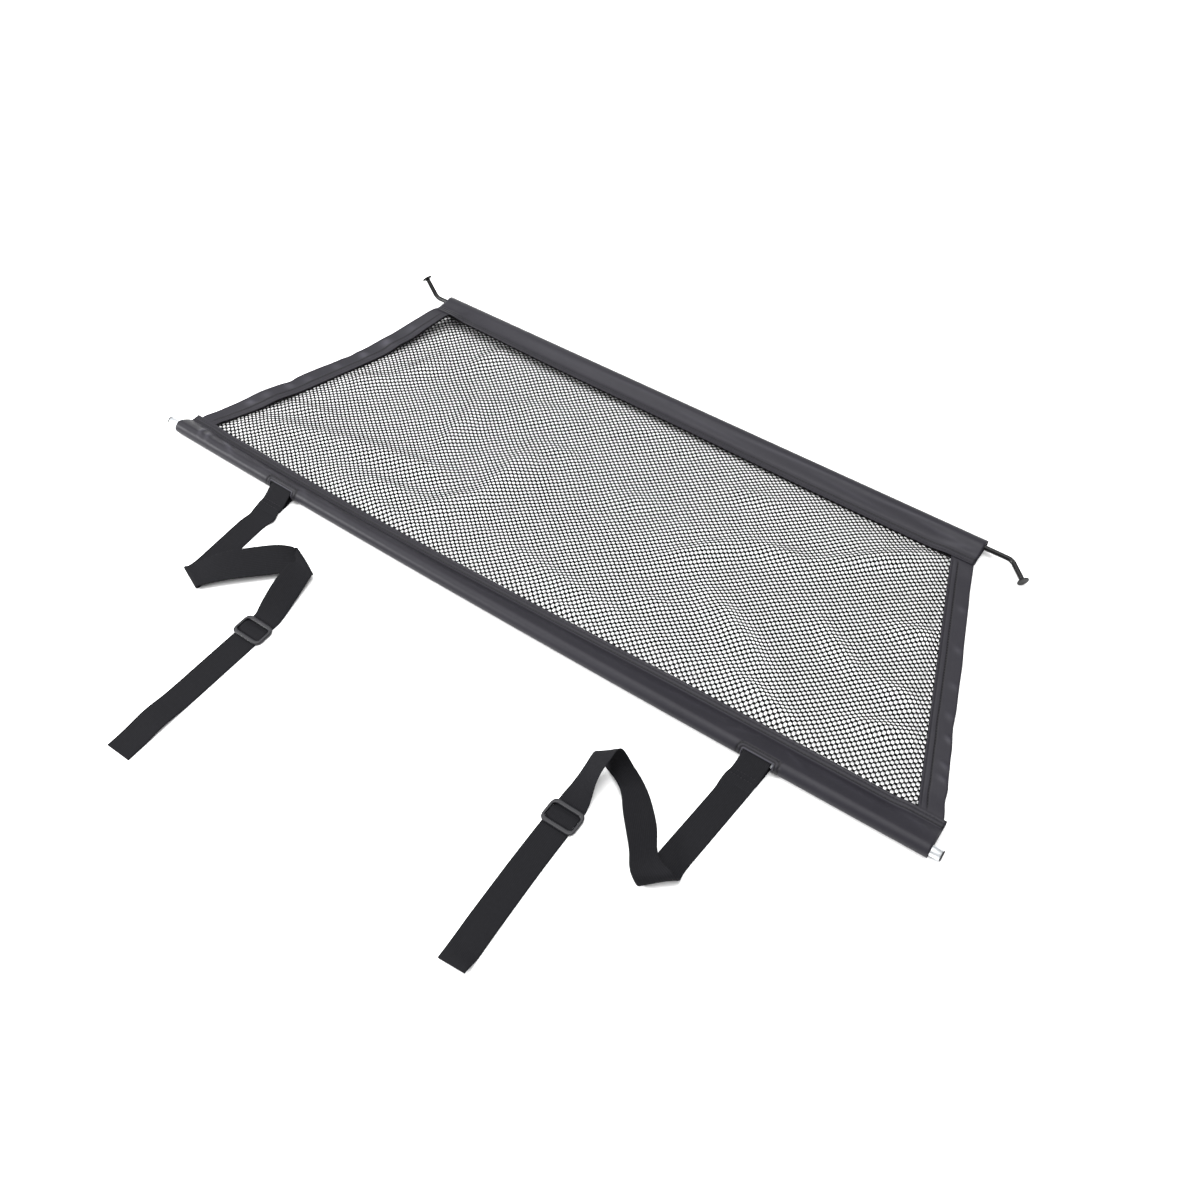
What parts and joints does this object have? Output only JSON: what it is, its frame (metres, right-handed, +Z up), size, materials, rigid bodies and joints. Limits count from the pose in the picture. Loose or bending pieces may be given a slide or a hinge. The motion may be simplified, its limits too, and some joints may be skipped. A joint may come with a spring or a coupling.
{
  "type": "dog car barrier net with its bar and tube",
  "caption": "Black mesh barrier panel with leatherette sleeves on a headed top bar and a front tube, and folded webbing straps with sliders; it keeps a dog behind a car's seats",
  "frame": {"origin": "on the floor, under the middle of the front sleeve", "axes": "+X along the front tube to the right, +Y from the front tube towards the top bar, +Z up from the floor"},
  "size_m": [1.1301, 0.8217, 0.036],
  "materials": {
    "net": "knitted mesh, matt",
    "leatherette": "satin, fine grain",
    "webbing": "woven, matt",
    "black_steel": "satin black",
    "bright_metal": "bright",
    "plug_plastic": "matt",
    "slider_plastic": "glossy"
  },
  "bodies": {
    "root": {"net_panel": "net", "top_sleeve": "leatherette", "front_sleeve": "leatherette", "left_binding": "leatherette", "right_binding": "leatherette", "top_rod": "black_steel", "front_tube": "bright_metal", "tube_plug_left": "plug_plastic", "tube_plug_right": "plug_plastic", "strap_left": "webbing", "slider_left": "slider_plastic", "strap_right": "webbing", "slider_right": "slider_plastic"}
  },
  "joints": []
}
